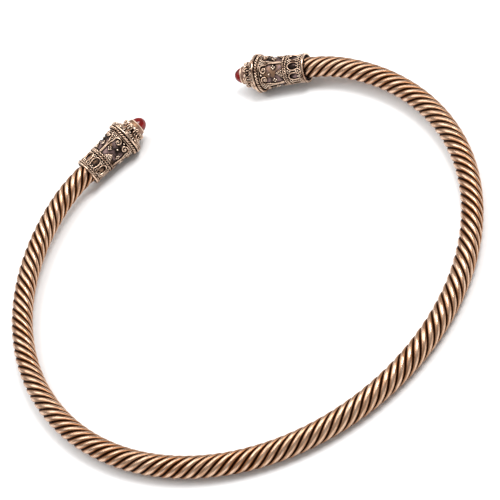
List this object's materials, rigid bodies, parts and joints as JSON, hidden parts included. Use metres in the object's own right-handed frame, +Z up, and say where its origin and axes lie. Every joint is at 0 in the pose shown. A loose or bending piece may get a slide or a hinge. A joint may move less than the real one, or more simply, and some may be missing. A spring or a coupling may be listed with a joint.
{
  "type": "twisted bronze neck ring",
  "caption": "Open neck ring of twisted strands, with a filigree cap and a domed red stone at each end; it lies flat.",
  "frame": {"origin": "on the floor under the middle of the ring's outline", "axes": "+Z up; -Y toward the opening between the two stones; +X toward the wearer's left terminal when the opening is worn to the front"},
  "size_m": [0.1422, 0.1396, 0.0115],
  "materials": {
    "bar_bronze": "worn golden bronze with dark patina in the grooves",
    "cap_bronze": "worn bronze wires on dark oxidised sheet",
    "setting_bronze": "plain bronze, bright at the lip",
    "garnet": "polished deep red stone"
  },
  "bodies": {
    "root": {"twisted_bar": "bar_bronze", "left_filigree_cap": "cap_bronze", "right_filigree_cap": "cap_bronze", "left_stone_setting": "setting_bronze", "right_stone_setting": "setting_bronze", "left_garnet": "garnet", "right_garnet": "garnet"}
  },
  "joints": []
}
